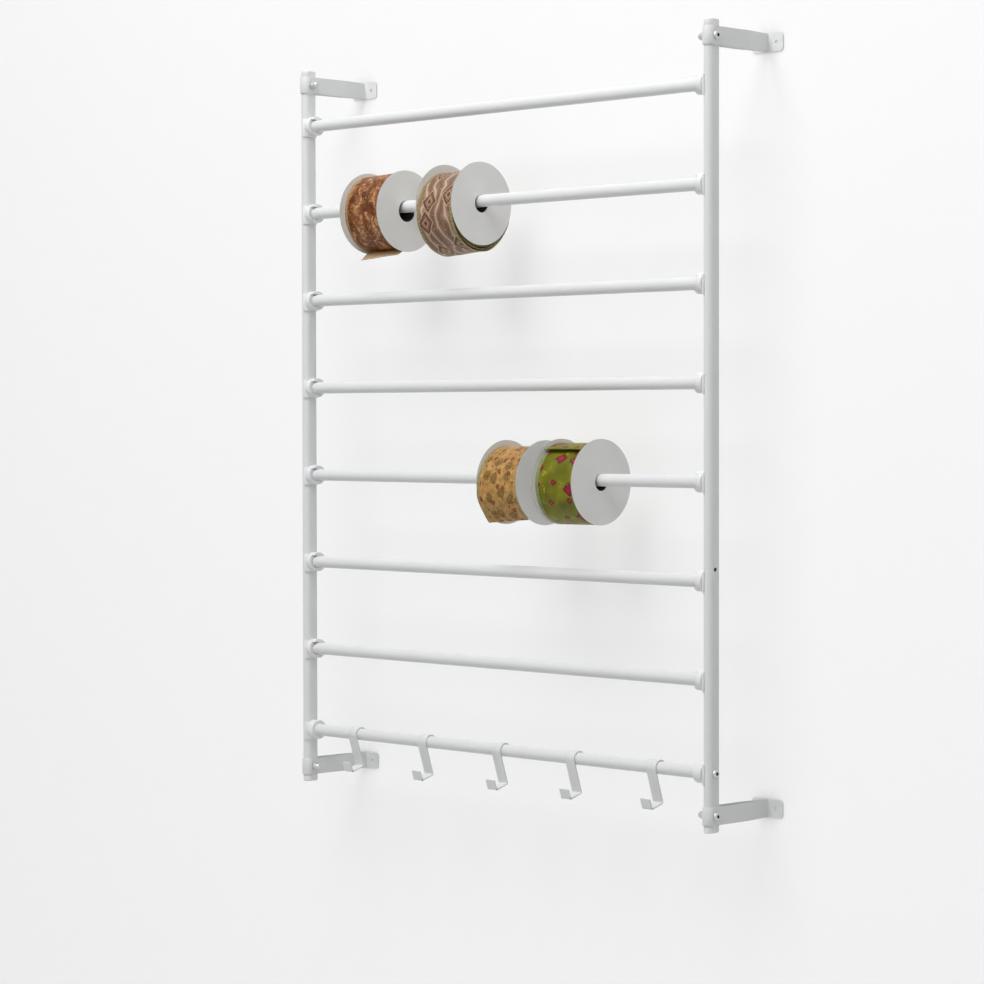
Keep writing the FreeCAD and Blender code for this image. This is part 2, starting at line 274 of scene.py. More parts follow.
def powder_coated_steel():
    """Polyester powder baked on steel: an even satin white whose skin ripples slightly."""
    material, tree, shader, place, finish = rack_ground(
        "powder_coated_steel", roughness=0.38, specular_ior_level=0.4)
    peel = add_node(tree, "ShaderNodeTexNoise", {
        "Vector": place, "Scale": 1 / finish.peel, "Detail": 1.0}).outputs["Fac"]
    cloud = add_node(tree, "ShaderNodeTexNoise", {
        "Vector": place, "Scale": per_mm(60), "Detail": 2.0}).outputs["Fac"]
    colour = two_toned(tree, cloud, finish.powder_coat, 0.955, 1.0)
    gloss = add_node(tree, "ShaderNodeMapRange", {
        "Value": peel, "To Min": 0.33, "To Max": 0.44}).outputs["Result"]
    surface(tree, shader, colour, peel, 0.03, gloss)
    return material


def moulded_nylon():
    """Injection-moulded nylon: milky white, with a fine spark-eroded grain and some depth."""
    material, tree, shader, place, finish = rack_ground(
        "moulded_nylon", roughness=0.45, ior=1.53, subsurface_weight=0.08,
        subsurface_scale=1.5 * MM)
    # the real grain is about 0.05 mm, drawn coarser so that it shows
    grain = add_node(tree, "ShaderNodeTexNoise", {
        "Vector": place, "Scale": per_mm(0.5), "Detail": 2.0}).outputs["Fac"]
    flow = add_node(tree, "ShaderNodeTexNoise", {
        "Vector": place, "Scale": per_mm(9), "Detail": 1.0, "Distortion": 1.5}).outputs["Fac"]
    colour = two_toned(tree, flow, finish.moulding, 0.94, 1.0)
    gloss = add_node(tree, "ShaderNodeMapRange", {
        "Value": grain, "To Min": 0.4, "To Max": 0.52}).outputs["Result"]
    surface(tree, shader, colour, grain, 0.02, gloss)
    return material


def bright_zinc():
    """Zinc-plated steel: pale metal with a soft haze and a fine, uneven grain."""
    material, tree, shader, place, finish = rack_ground(
        "bright_zinc", metallic=1.0, roughness=0.4)
    haze = add_node(tree, "ShaderNodeTexNoise", {
        "Vector": place, "Scale": per_mm(3), "Detail": 4.0}).outputs["Fac"]
    colour = two_toned(tree, haze, finish.plating, 0.8, 1.0)
    gloss = add_node(tree, "ShaderNodeMapRange", {
        "Value": haze, "To Min": 0.34, "To Max": 0.48}).outputs["Result"]
    grain = add_node(tree, "ShaderNodeTexNoise", {
        "Vector": place, "Scale": per_mm(0.4), "Detail": 2.0}).outputs["Fac"]
    surface(tree, shader, colour, grain, 0.01, gloss)
    return material


def painted_recess_shade():
    """Hexagon sockets: dark steel grey with broaching marks, the darkness a painted shade for
    their depth.
    """
    material, tree, shader, place, finish = rack_ground(
        "painted_recess_shade", metallic=0.7, roughness=0.55)
    marks = add_node(tree, "ShaderNodeTexNoise", {
        "Vector": place, "Scale": per_mm(0.6), "Detail": 3.0}).outputs["Fac"]
    colour = two_toned(tree, marks, finish.recess, 0.6, 1.2)
    surface(tree, shader, colour, marks, 0.02)
    return material


def lined_board():
    """Die-cut chipboard with a white paper liner: matt and even on its faces, grey and
    fibrous at its cut edges."""
    material, tree, shader, place, finish = rack_ground(
        "lined_board", roughness=0.8, specular_ior_level=0.3)
    pulp = add_node(tree, "ShaderNodeTexNoise", {
        "Vector": place, "Scale": per_mm(1.1), "Detail": 5.0, "Roughness": 0.6}).outputs["Fac"]
    cloud = add_node(tree, "ShaderNodeTexNoise", {
        "Vector": place, "Scale": per_mm(40), "Detail": 1.0}).outputs["Fac"]
    fibre = add_node(tree, "ShaderNodeMath", {
        0: pulp, 1: 0.5, 2: 0.1}, operation="MULTIPLY_ADD").outputs[0]
    shade = add_node(tree, "ShaderNodeMath", {
        0: cloud, 1: 0.6, 2: fibre}, operation="MULTIPLY_ADD").outputs[0]
    liner = two_toned(tree, shade, finish.card, 0.91, 1.03)
    chip = two_toned(tree, pulp, finish.chipboard, 0.8, 1.15)
    # the flanges' faces look along X, and their cut edges don't
    normal = add_node(tree, "ShaderNodeTexCoord").outputs["Normal"]
    along = add_node(tree, "ShaderNodeSeparateXYZ", {"Vector": normal}).outputs["X"]
    facing = add_node(tree, "ShaderNodeMath", {0: along}, operation="ABSOLUTE").outputs[0]
    cut_edge = add_node(tree, "ShaderNodeMath", {
        0: facing, 1: 0.5}, operation="LESS_THAN").outputs[0]
    colour = add_node(tree, "ShaderNodeMix", {
        SHARE: cut_edge, FIRST: liner, SECOND: chip}, data_type="RGBA").outputs[MIXED]
    surface(tree, shader, colour, pulp, 0.04)
    return material


def spiral_tube():
    """Spiral-wound chipboard tube: grey-brown fibre, toned darker than board as painted shade for
    the dim inside of the bores, with the faint seams of its plies.
    """
    material, tree, shader, place, finish = rack_ground(
        "spiral_tube", roughness=0.9, specular_ior_level=0.2)
    pulp = add_node(tree, "ShaderNodeTexNoise", {
        "Vector": place, "Scale": per_mm(1.4), "Detail": 4.0}).outputs["Fac"]
    # plies 12 mm wide
    ply = add_node(tree, "ShaderNodeTexWave", {
        "Vector": place, "Scale": waves_per_mm(12), "Distortion": 0.6},
        bands_direction="X", wave_profile="SAW").outputs["Fac"]
    fibre = add_node(tree, "ShaderNodeMath", {0: pulp, 1: 0.7}, operation="MULTIPLY").outputs[0]
    shade = add_node(tree, "ShaderNodeMath", {
        0: ply, 1: 0.3, 2: fibre}, operation="MULTIPLY_ADD").outputs[0]
    colour = two_toned(tree, shade, finish.tube, 0.75, 1.1)
    surface(tree, shader, colour, pulp, 0.05)
    return material


# ---------------------------------------------------------------- materials of the ribbons
def ribbon_ground(name, reverse):
    """A satin ribbon's material, tree, shader and place along and across it, in metres."""
    name += "_reverse" if reverse else ""
    material, tree, shader = new_material(
        name, roughness=0.55 if reverse else 0.45, specular_ior_level=0.2,
        subsurface_weight=0.6 if reverse else 0.2, subsurface_radius=(1.0, 0.85, 0.65),
        subsurface_scale=1.2 * MM)
    spot = add_node(tree, "ShaderNodeUVMap", uv_map=RIBBON_MAP).outputs["UV"]
    return material, tree, shader, spot


def inked(tree, ground, share, ink):
    """A ribbon's colour with a share of ink on it, which is a hex colour."""
    return add_node(tree, "ShaderNodeMix", {
        SHARE: share, FIRST: ground, SECOND: linear(ink)}, data_type="RGBA").outputs[MIXED]


def finish_ribbon(tree, shader, spot, colour, width, selvedge, backing, sparkle, reverse):
    """Adds what every ribbon has: sheer selvedges, the weave's ribs, and metal glitter on its
    face or a pale reverse."""
    across = add_node(tree, "ShaderNodeSeparateXYZ", {"Vector": spot}).outputs["Y"]
    centred = add_node(tree, "ShaderNodeMath", {
        0: across, 1: width / 2}, operation="SUBTRACT").outputs[0]
    off_centre = add_node(tree, "ShaderNodeMath", {0: centred}, operation="ABSOLUTE").outputs[0]
    edge = add_node(tree, "ShaderNodeMapRange", {
        "Value": off_centre, "From Min": width / 2 - SELVEDGE_START * MM,
        "From Max": width / 2 - SELVEDGE_FULL * MM,
        "To Max": 0.3 if reverse else 0.8}).outputs["Result"]
    colour = inked(tree, colour, edge, selvedge)
    if reverse:
        colour = inked(tree, colour, 0.75, backing)
    else:
        # glitter grains 1 mm across, coarser than real ones so that they show
        grain = add_node(tree, "ShaderNodeTexVoronoi", {
            "Vector": spot, "Scale": per_mm(1.0)}, voronoi_dimensions="2D").outputs["Color"]
        pick = add_node(tree, "ShaderNodeSeparateColor", {"Color": grain}).outputs["Red"]
        drift = add_node(tree, "ShaderNodeTexNoise", {
            "Vector": spot, "Scale": per_mm(14), "Detail": 1.0}).outputs["Fac"]
        spread = add_node(tree, "ShaderNodeMapRange", {
            "Value": drift, "From Min": 0.42, "From Max": 0.7,
            "To Max": sparkle}).outputs["Result"]
        share = add_node(tree, "ShaderNodeMath", {
            0: edge, 1: 0.24, 2: spread}, operation="MULTIPLY_ADD").outputs[0]
        reached = add_node(tree, "ShaderNodeMath", {
            0: pick, 1: share}, operation="ADD").outputs[0]
        glitter = add_node(tree, "ShaderNodeMath", {
            0: reached, 1: 1.0}, operation="GREATER_THAN").outputs[0]
        gilt = add_node(tree, "ShaderNodeMath", {
            0: glitter, 1: 0.7}, operation="MULTIPLY").outputs[0]
        colour = inked(tree, colour, gilt, "#CBB982")
        metal = add_node(tree, "ShaderNodeMath", {
            0: glitter, 1: 0.8}, operation="MULTIPLY").outputs[0]
        tree.links.new(metal, shader.inputs["Metallic"])
    # weft ribs 1.6 mm apart, coarser than real satin so that they show
    rib = add_node(tree, "ShaderNodeTexWave", {
        "Vector": spot, "Scale": waves_per_mm(1.6)}, bands_direction="X").outputs["Fac"]
    thread = add_node(tree, "ShaderNodeTexNoise", {
        "Vector": spot, "Scale": per_mm(0.8), "Detail": 2.0}).outputs["Fac"]
    weave = add_node(tree, "ShaderNodeMath", {
        0: thread, 1: 0.6, 2: rib}, operation="MULTIPLY_ADD").outputs[0]
    surface(tree, shader, colour, weave, 0.03)


def wobbled(tree, spot, size, amount, seed=0.0):
    """A place shifted by noise of a size and by an amount in mm, for hand-drawn outlines."""
    moved = add_node(tree, "ShaderNodeMapping", {
        "Vector": spot, "Location": (seed, seed, 0)}).outputs["Vector"]
    shift = add_node(tree, "ShaderNodeTexNoise", {
        "Vector": moved, "Scale": per_mm(size), "Detail": 2.0}).outputs["Color"]
    centred = add_node(tree, "ShaderNodeVectorMath", {
        0: shift, 1: (0.5, 0.5, 0.5)}, operation="SUBTRACT").outputs["Vector"]
    scaled = add_node(tree, "ShaderNodeVectorMath", {
        0: centred, 3: 2 * amount * MM}, operation="SCALE").outputs["Vector"]
    return add_node(tree, "ShaderNodeVectorMath", {
        0: spot, 1: scaled}, operation="ADD").outputs["Vector"]


def scattered(tree, spot, apart, seed, stretch=(1.0, 1.0), randomness=0.8, metric="EUCLIDEAN"):
    """For shapes strewn that many mm apart: how far the nearest is in mm, and a random value
    of its own."""
    moved = add_node(tree, "ShaderNodeMapping", {
        "Vector": spot, "Location": (seed, seed * 0.37, 0),
        "Scale": (1 / stretch[0], 1 / stretch[1], 1)}).outputs["Vector"]
    cells = add_node(tree, "ShaderNodeTexVoronoi", {
        "Vector": moved, "Scale": per_mm(apart), "Randomness": randomness},
        voronoi_dimensions="2D", distance=metric).outputs
    own = add_node(tree, "ShaderNodeSeparateColor", {"Color": cells["Color"]}).outputs["Red"]
    near = add_node(tree, "ShaderNodeMath", {
        0: cells["Distance"], 1: apart}, operation="MULTIPLY").outputs[0]
    return near, own


def stamped(tree, near, own, radius, share, strength=1.0, soft=0.25):
    """The strength within a radius in mm of a share of the shapes, with a soft outline."""
    inside = add_node(tree, "ShaderNodeMapRange", {
        "Value": near, "From Min": radius, "From Max": radius * (1 - soft),
        "To Max": strength}).outputs["Result"]
    chosen = add_node(tree, "ShaderNodeMath", {
        0: own, 1: share}, operation="LESS_THAN").outputs[0]
    return add_node(tree, "ShaderNodeMath", {
        0: inside, 1: chosen}, operation="MULTIPLY").outputs[0]


def copper_marble_ribbon(width, reverse):
    """Polyester satin with a rust and copper marbling, darker veins and gold glitter."""
    material, tree, shader, spot = ribbon_ground("copper_marble_satin", reverse)
    cloud = add_node(tree, "ShaderNodeTexNoise", {
        "Vector": spot, "Scale": per_mm(17), "Detail": 5.0, "Roughness": 0.55,
        "Distortion": 1.4}).outputs["Fac"]
    colour = add_node(tree, "ShaderNodeValToRGB", {"Fac": cloud}, stops=(
        (0.30, "#4C230C"), (0.43, "#6F3A18"), (0.53, "#8C5529"), (0.61, "#B28055"),
        (0.72, "#CFA882"))).outputs["Color"]
    vein = add_node(tree, "ShaderNodeTexVoronoi", {
        "Vector": wobbled(tree, spot, 6, 3.5), "Scale": per_mm(9)},
        voronoi_dimensions="2D", feature="DISTANCE_TO_EDGE").outputs["Distance"]
    dark = add_node(tree, "ShaderNodeMapRange", {
        "Value": vein, "From Min": 0.11, "From Max": 0.03, "To Max": 0.7}).outputs["Result"]
    colour = inked(tree, colour, dark, "#54290F")
    near, own = scattered(tree, wobbled(tree, spot, 5, 2.5, 4.0), 17, 3.1, (1.4, 0.9))
    colour = inked(tree, colour, stamped(tree, near, own, 5.5, 0.55, 0.7), "#6B3010")
    finish_ribbon(tree, shader, spot, colour, width, "#A88D68", "#DCC7A2", 0.1, reverse)
    return material


def rose_lozenge_ribbon(width, reverse):
    """Polyester satin with large nested lozenges on flowing bands, in brown, rose and cream."""
    material, tree, shader, spot = ribbon_ground("rose_lozenge_satin", reverse)
    band = add_node(tree, "ShaderNodeTexWave", {
        "Vector": spot, "Scale": waves_per_mm(15), "Distortion": 7.0, "Detail": 1.0,
        "Detail Scale": 1.4}, bands_direction="Y").outputs["Fac"]
    ground = add_node(tree, "ShaderNodeValToRGB", {"Fac": band}, stops=(
        (0.0, "#785A49"), (0.5, "#8A6B5A"), (0.9, "#9A7B6A"), (0.96, "#BDA389"),
        (1.0, "#C4AC92"))).outputs["Color"]
    near, own = scattered(
        tree, wobbled(tree, spot, 18, 3.0), 40, 1.7, (1.0, 0.86), 0.5, "MANHATTAN")
    # the stops are spread over 20 mm from a lozenge's centre
    ring = add_node(tree, "ShaderNodeMath", {0: near, 1: 1 / 20}, operation="MULTIPLY").outputs[0]
    lozenge = add_node(tree, "ShaderNodeValToRGB", {"Fac": ring}, stops=(
        (0.0, "#5C3521"), (0.20, "#6B432E"), (0.25, "#BFA283"), (0.29, "#A98B72"),
        (0.34, "#8B6A58"), (0.50, "#836352"), (0.54, "#5F4030"), (0.74, "#6B4B3A"),
        (0.79, "#C0A587"), (0.85, "#B89C80"), (0.9, "#7A5B4A"),
        (1.0, "#7A5B4A"))).outputs["Color"]
    colour = add_node(tree, "ShaderNodeMix", {
        SHARE: stamped(tree, near, own, 18.0, 0.8, soft=0.08), FIRST: ground, SECOND: lozenge},
        data_type="RGBA").outputs[MIXED]
    finish_ribbon(tree, shader, spot, colour, width, "#8B8159", "#EFE8DA", 0.1, reverse)
    return material


def gold_pebble_ribbon(width, reverse):
    """Polyester satin in old gold, printed with large olive pebbles and small russet ones."""
    material, tree, shader, spot = ribbon_ground("gold_pebble_satin", reverse)
    cloud = add_node(tree, "ShaderNodeTexNoise", {
        "Vector": spot, "Scale": per_mm(8), "Detail": 4.0, "Distortion": 0.5}).outputs["Fac"]
    colour = add_node(tree, "ShaderNodeValToRGB", {"Fac": cloud}, stops=(
        (0.32, "#98713A"), (0.5, "#B2874C"), (0.68, "#C69E63"))).outputs["Color"]
    loose = wobbled(tree, spot, 9, 2.2)
    for apart, radius, seed, share, ink in (
            (22, 7.2, 2.3, 0.8, "#775C2C"), (17, 3.8, 5.2, 0.6, "#7C3B20"),
            (10, 1.8, 7.9, 0.6, "#703A18")):
        near, own = scattered(tree, loose, apart, seed, (1.1, 0.9))
        colour = inked(tree, colour, stamped(tree, near, own, radius, share, 0.85), ink)
    finish_ribbon(tree, shader, spot, colour, width, "#918553", "#DDCDA8", 0.09, reverse)
    return material


def olive_diamond_ribbon(width, reverse):
    """Polyester satin in olive, printed with crimson diamonds and sprays of gold glitter."""
    material, tree, shader, spot = ribbon_ground("olive_diamond_satin", reverse)
    cloud = add_node(tree, "ShaderNodeTexNoise", {
        "Vector": spot, "Scale": per_mm(28), "Detail": 2.0}).outputs["Fac"]
    colour = add_node(tree, "ShaderNodeValToRGB", {"Fac": cloud}, stops=(
        (0.35, "#5F6006"), (0.5, "#6F6F0B"), (0.65, "#7F7E16"))).outputs["Color"]
    loose = wobbled(tree, spot, 6, 3.0)
    near, own = scattered(tree, loose, 24, 5.3)
    spray = stamped(tree, near, own, 6.0, 0.4, 0.42, 0.9)
    speck = add_node(tree, "ShaderNodeTexVoronoi", {
        "Vector": spot, "Scale": per_mm(1.1)}, voronoi_dimensions="2D").outputs["Color"]
    pick = add_node(tree, "ShaderNodeSeparateColor", {"Color": speck}).outputs["Green"]
    reached = add_node(tree, "ShaderNodeMath", {0: pick, 1: spray}, operation="ADD").outputs[0]
    lit = add_node(tree, "ShaderNodeMath", {
        0: reached, 1: 1.0}, operation="GREATER_THAN").outputs[0]
    colour = inked(tree, colour, lit, "#B9AE3C")
    for apart, radius, seed, share in ((38, 11.0, 4.4, 0.8), (25, 5.5, 8.8, 0.4)):
        near, own = scattered(tree, loose, apart, seed, (0.95, 1.1), 0.7, "MANHATTAN")
        ring = add_node(tree, "ShaderNodeMath", {
            0: near, 1: 1 / radius}, operation="MULTIPLY").outputs[0]
        gem = add_node(tree, "ShaderNodeValToRGB", {"Fac": ring}, stops=(
            (0.0, "#AE2149"), (0.18, "#861730"), (0.3, "#A61D43"), (0.5, "#931735"),
            (0.64, "#611518"), (1.0, "#5E1C14"))).outputs["Color"]
        colour = add_node(tree, "ShaderNodeMix", {
            SHARE: stamped(tree, near, own, radius, share), FIRST: colour, SECOND: gem},
            data_type="RGBA").outputs[MIXED]
    finish_ribbon(tree, shader, spot, colour, width, "#8A9A74", "#D3D6AC", 0.03, reverse)
    return material


# ---------------------------------------------------------------- material of the stage
def matt_plaster(one_sided):
    """Smooth matt plaster, lifted to near white for the camera and in reflections by a glow, which
    ambient occlusion dims as painted shade. A one-sided wall is clear from behind."""
    stage = bpy.context.scene.dispenser_stage
    name = "matt_plaster_wall" if one_sided else "matt_plaster"
    material, tree, shader = new_material(
        name, roughness=0.95, specular_ior_level=0.1, emission_color=(1, 1, 1, 1))
    rays = add_node(tree, "ShaderNodeLightPath").outputs
    seen = add_node(tree, "ShaderNodeMath", {
        0: rays["Is Camera Ray"], 1: rays["Is Glossy Ray"]}, operation="MAXIMUM").outputs[0]
    colour = two_toned(tree, seen, stage.backdrop, 1.0, stage.backdrop_shade)
    tree.links.new(colour, shader.inputs["Base Color"])
    # painted shade: ambient occlusion dims the glow under the feet of the straps and in their
    # holes
    open_sky = add_node(tree, "ShaderNodeAmbientOcclusion", {
        "Distance": 25 * MM}, samples=8).outputs["AO"]
    lift = add_node(tree, "ShaderNodeMath", {
        0: open_sky, 1: stage.backdrop_lift}, operation="MULTIPLY").outputs[0]
    glow = add_node(tree, "ShaderNodeMath", {0: seen, 1: lift}, operation="MULTIPLY").outputs[0]
    tree.links.new(glow, shader.inputs["Emission Strength"])
    if one_sided:
        behind = add_node(tree, "ShaderNodeNewGeometry").outputs["Backfacing"]
        # light passes to the backs of the feet on it, which would be black from behind
        touching = add_node(tree, "ShaderNodeMath", {
            0: rays["Ray Length"], 1: 1 * MM}, operation="LESS_THAN").outputs[0]
        passed = add_node(tree, "ShaderNodeMath", {
            0: behind, 1: touching}, operation="MAXIMUM").outputs[0]
        clear = add_node(tree, "ShaderNodeBsdfTransparent").outputs["BSDF"]
        both = add_node(tree, "ShaderNodeMixShader", {
            0: passed, 1: shader.outputs["BSDF"], 2: clear}).outputs["Shader"]
        tree.links.new(both, tree.nodes["Material Output"].inputs["Surface"])
    return material


# ---------------------------------------------------------------- meshes
def new_piece(name, vertices, faces, materials, spots=None, finishes=None, smooth=True):
    """A mesh object. Each face may have its corners' places on the ribbon and the number of
    its material."""
    mesh = bpy.data.meshes.new(name)
    mesh.from_pydata(vertices, [], faces)
    for material in materials:
        mesh.materials.append(material)
    if spots:
        layer = mesh.uv_layers.new(name=RIBBON_MAP)
        flat = [number for corners in spots for corner in corners for number in corner]
        layer.data.foreach_set("uv", flat)
    if finishes:
        mesh.polygons.foreach_set("material_index", finishes)
    mesh.polygons.foreach_set("use_smooth", [smooth] * len(mesh.polygons))
    shell = bmesh.new()
    shell.from_mesh(mesh)
    bmesh.ops.recalc_face_normals(shell, faces=shell.faces)
    shell.to_mesh(mesh)
    shell.free()
    piece = bpy.data.objects.new(name, mesh)
    bpy.context.scene.collection.objects.link(piece)
    return piece


def coat(names, material):
    """Gives carried-over nodes their finish."""
    for name in names:
        mesh = nodes[name].data
        mesh.materials.clear()
        mesh.materials.append(material)


def round_edges(names, radius):
    """Softens the sharp edges of carried-over nodes. Their own meshes stay."""
    for name in names:
        weld = nodes[name].modifiers.new("joined", "WELD")
        weld.merge_threshold = WELD_DISTANCE * MM
        bevel = nodes[name].modifiers.new("rounded", "BEVEL")
        bevel.width = radius
        bevel.segments = 2
        bevel.limit_method = "ANGLE"
        bevel.angle_limit = math.radians(SHARP_EDGE)
        bevel.harden_normals = True
        bevel.use_clamp_overlap = True


# ---------------------------------------------------------------- wound ribbons
# The free end of each ribbon, from where it leaves the pack. Each key is an angle in degrees, from
# the top towards the front, then the distance in mm from the spool's axis at the left and right
# edge.
LOOSE_ENDS = {
    "a": [(660, 44.6, 44.6), (600, 45.6, 45.6), (560, 48.6, 48.6), (538, 49.8, 50.0),
          (518, 49.2, 49.4), (485, 46.6, 47.0), (450, 45.2, 45.6), (415, 46.4, 47.4),
          (385, 48.4, 50.6), (355, 49.4, 52.0), (320, 49.2, 51.0), (270, 48.6, 49.6),
          (225, 49.8, 50.0), (200, 50.6, 50.6), (187, 50.9, 50.9), (179, 51.6, 51.4),
          (174, 54.2, 52.9), (169, 60.0, 56.4), (165, 65.5, 60.5)],
    "b": [(-360, 41.3, 41.3), (-300, 42.0, 42.0), (-240, 47.5, 47.0), (-185, 56.4, 55.6),
          (-130, 50.5, 50.5), (-70, 43.0, 43.0), (0, 42.2, 42.2), (60, 43.6, 43.4),
          (120, 52.0, 51.2), (178, 61.0, 58.6), (230, 54.5, 54.0), (290, 45.4, 45.4),
          (360, 43.4, 43.4), (420, 46.4, 46.4), (470, 56.8, 54.6), (505, 62.6, 59.7),
          (535, 65.8, 62.0), (553, 65.0, 61.6), (575, 60.5, 58.5), (604, 55.8, 55.6),
          (640, 50.5, 50.5), (680, 46.0, 46.0)],
    "c": [(-240, 45.0, 45.0), (-100, 45.4, 45.4), (0, 46.0, 46.0), (60, 49.0, 48.0),
          (90, 53.5, 51.0), (111, 57.0, 53.0), (130, 57.5, 53.0), (148, 61.0, 55.0)],
    "d": [(30, 45.4, 45.4), (60, 45.8, 45.8), (110, 48.0, 48.0), (150, 52.0, 51.5),
          (180, 54.0, 53.5), (225, 52.4, 52.2), (270, 49.8, 49.8), (320, 48.6, 48.8),
          (360, 48.8, 49.2), (380, 49.6, 50.0), (390, 50.6, 50.8), (397, 51.8, 51.6)],
}
PACK_RADII = {"a": 44.5, "b": 41.0, "c": 44.5, "d": 45.0}
RIBBON_FINISHES = {
    "a": copper_marble_ribbon, "b": rose_lozenge_ribbon,
    "c": gold_pebble_ribbon, "d": olive_diamond_ribbon}


def between(keys, angle, column):
    """A column of the keys at an angle, on a smooth curve through them."""
    rising = keys if keys[0][0] < keys[-1][0] else keys[::-1]
    i = 0
    while i < len(rising) - 2 and rising[i + 1][0] < angle:
        i += 1
    first = rising[max(i - 1, 0)]
    start = rising[i]
    stop = rising[i + 1]
    last = rising[min(i + 2, len(rising) - 1)]
    span = stop[0] - start[0]
    leave = (stop[column] - first[column]) / (stop[0] - first[0])
    arrive = (last[column] - start[column]) / (last[0] - start[0])
    t = (angle - start[0]) / span
    return (
        start[column] * (2 * t ** 3 - 3 * t ** 2 + 1)
        + leave * span * (t ** 3 - 2 * t ** 2 + t)
        + stop[column] * (3 * t ** 2 - 2 * t ** 3)
        + arrive * span * (t ** 3 - t ** 2)
    )


def around(centre, radius, angle):
    """A point in the plane across the spool's axis, as (y, z) in metres."""
    turn = math.radians(angle)
    return Vector((
        centre.y - radius * MM * math.sin(turn), centre.z + radius * MM * math.cos(turn)))


def loose_end(spool, centre, low, high, materials):
    """A strip of ribbon with thicker edges, which follows its keys round the spool. Returns it
    and its length."""
    ribbon = bpy.context.scene.dispenser_ribbon
    keys = LOOSE_ENDS[spool]
    first, last = keys[0][0], keys[-1][0]
    mean = sum(key[1] for key in keys) / len(keys) * MM
    steps = int(math.radians(abs(last - first)) * mean / ribbon.step)
    rows = list(HEM)
    rows += [MARGIN + (1 - 2 * MARGIN) * k / ribbon.rows for k in range(ribbon.rows + 1)]
    rows += [1 - v for v in HEM[::-1]]
    width = high - low
    paths = []
    for i in range(steps + 1):
        angle = first + (last - first) * i / steps
        paths.append([around(centre, between(keys, angle, column), angle) for column in (1, 2)])
    along = [0.0]
    for (a, b), (c, d) in zip(paths, paths[1:]):
        along.append(along[-1] + ((c - a).length + (d - b).length) / 2)
    vertices = []
    for i, (left, right) in enumerate(paths):
        before = paths[max(i - 1, 0)]
        after = paths[min(i + 1, steps)]
        tangent = (after[0] + after[1] - before[0] - before[1]).normalized()
        outward = Vector((-tangent.y, tangent.x)) * (1 if last < first else -1)
        free = min(1.0, along[i] / (RIPPLE_START * MM)) * RIPPLE_HEIGHT * MM
        for side in (1, -1):
            for v in rows:
                at = Vector((along[i] / (RIPPLE_LENGTH * MM), v * RIPPLES_ACROSS, ord(spool)))
                ripple = noise.noise(at) * free
                inset = min(v, 1 - v) * width / MM
                hem = max(0.0, 1 - (inset / HEM_WIDTH) ** 2)
                thickness = ribbon.thickness + hem * (ribbon.edge_wire - ribbon.thickness)
                point = left.lerp(right, v) + outward * (ripple + side * thickness / 2)
                vertices.append((low + width * v, point.x, point.y))
    n = len(rows)
    faces = []
    spots = []
    finishes = []

    def add_face(corners, finish):
        faces.append([(2 * i + lower) * n + k for i, lower, k in corners])
        spots.append([(along[i], rows[k] * width) for i, lower, k in corners])
        finishes.append(finish)

    for i in range(steps):
        for k in range(n - 1):
            for lower in (0, 1):
                add_face([
                    (i, lower, k), (i, lower, k + 1), (i + 1, lower, k + 1), (i + 1, lower, k)],
                    lower)
        for k in (0, n - 1):
            add_face([(i, 0, k), (i + 1, 0, k), (i + 1, 1, k), (i, 1, k)], 0)
    for i in (0, steps):
        for k in range(n - 1):
            add_face([(i, 0, k), (i, 0, k + 1), (i, 1, k + 1), (i, 1, k)], 0)
    name = "ribbon_%s_end" % spool
    return new_piece(name, vertices, faces, materials, spots, finishes), along[-1]


def revolved(rings, centre, segments):
    """The corners and faces of a solid along X, from rings of x in metres and radius in mm.

    A radius may be a function of the angle. The last two faces close the first and last ring.
    """
    vertices = []
    for x, radius in rings:
        for i in range(segments):
            angle = 360 * i / segments
            spot = around(centre, radius(angle) if callable(radius) else radius, angle)
            vertices.append((x, spot.x, spot.y))
    faces = []
    for j in range(len(rings) - 1):
        for i in range(segments):
            k = (i + 1) % segments
            faces.append([
                j * segments + i, j * segments + k, (j + 1) * segments + k,
                (j + 1) * segments + i])
    faces.append(list(range(segments)))
    faces.append([(len(rings) - 1) * segments + i for i in range(segments)])
    return vertices, faces


def ribbon_pack(spool, core, centre, low, high, material):
    """The tightly wound part. Its ends show the edges of the turns as fine ridges."""
    name = "ribbon_%s_pack" % spool
    radius = PACK_RADII[spool]
    draw = random.Random(name)
    left = [(low, core)]
    right = [(high, core)]
    for k in range(1, PACK_TURNS):
        r = core + (radius - core) * k / PACK_TURNS
        depth = (GROOVE_WIDTH + GROOVE_SPREAD * draw.random()) * MM
        left += [(low + depth, r), (low, r + GROOVE_WIDTH)]
        right += [(high - depth, r), (high, r + GROOVE_WIDTH)]
    rim = [
        (low, radius - RIM_DEPTH), (low + RIM_WIDTH * MM, radius),
        (high - RIM_WIDTH * MM, radius), (high, radius - RIM_DEPTH)]
    rings = left + rim + right[::-1]
    rings.append(rings[0])
    vertices, faces = revolved(rings, centre, PACK_SEGMENTS)
    # the last ring is the first one again, so nothing is closed
    vertices = vertices[:-PACK_SEGMENTS]
    faces = [[index % len(vertices) for index in face] for face in faces[:-2]]
    spots = []
    for j in range(len(faces)):
        i = j % PACK_SEGMENTS
        ring = rings[j // PACK_SEGMENTS:][:2]
        spots.append([
            (math.tau * ring[row][1] * MM * (i + step) / PACK_SEGMENTS, ring[row][0] - low)
            for row, step in ((0, 0), (0, 1), (1, 1), (1, 0))])
    return new_piece(name, vertices, faces, [material], spots)


# ---------------------------------------------------------------- fasteners
def hexagon(flats):
    """The radius of a hexagon by the angle, with corners at the front and back."""
    return lambda angle: flats / 2 / math.cos(math.radians((angle + 30) % 60 - 30))


def chamfered(flats, radius):
    """A hexagon whose corners are turned down to a radius."""
    side = hexagon(flats)
    return lambda angle: min(side(angle), radius)


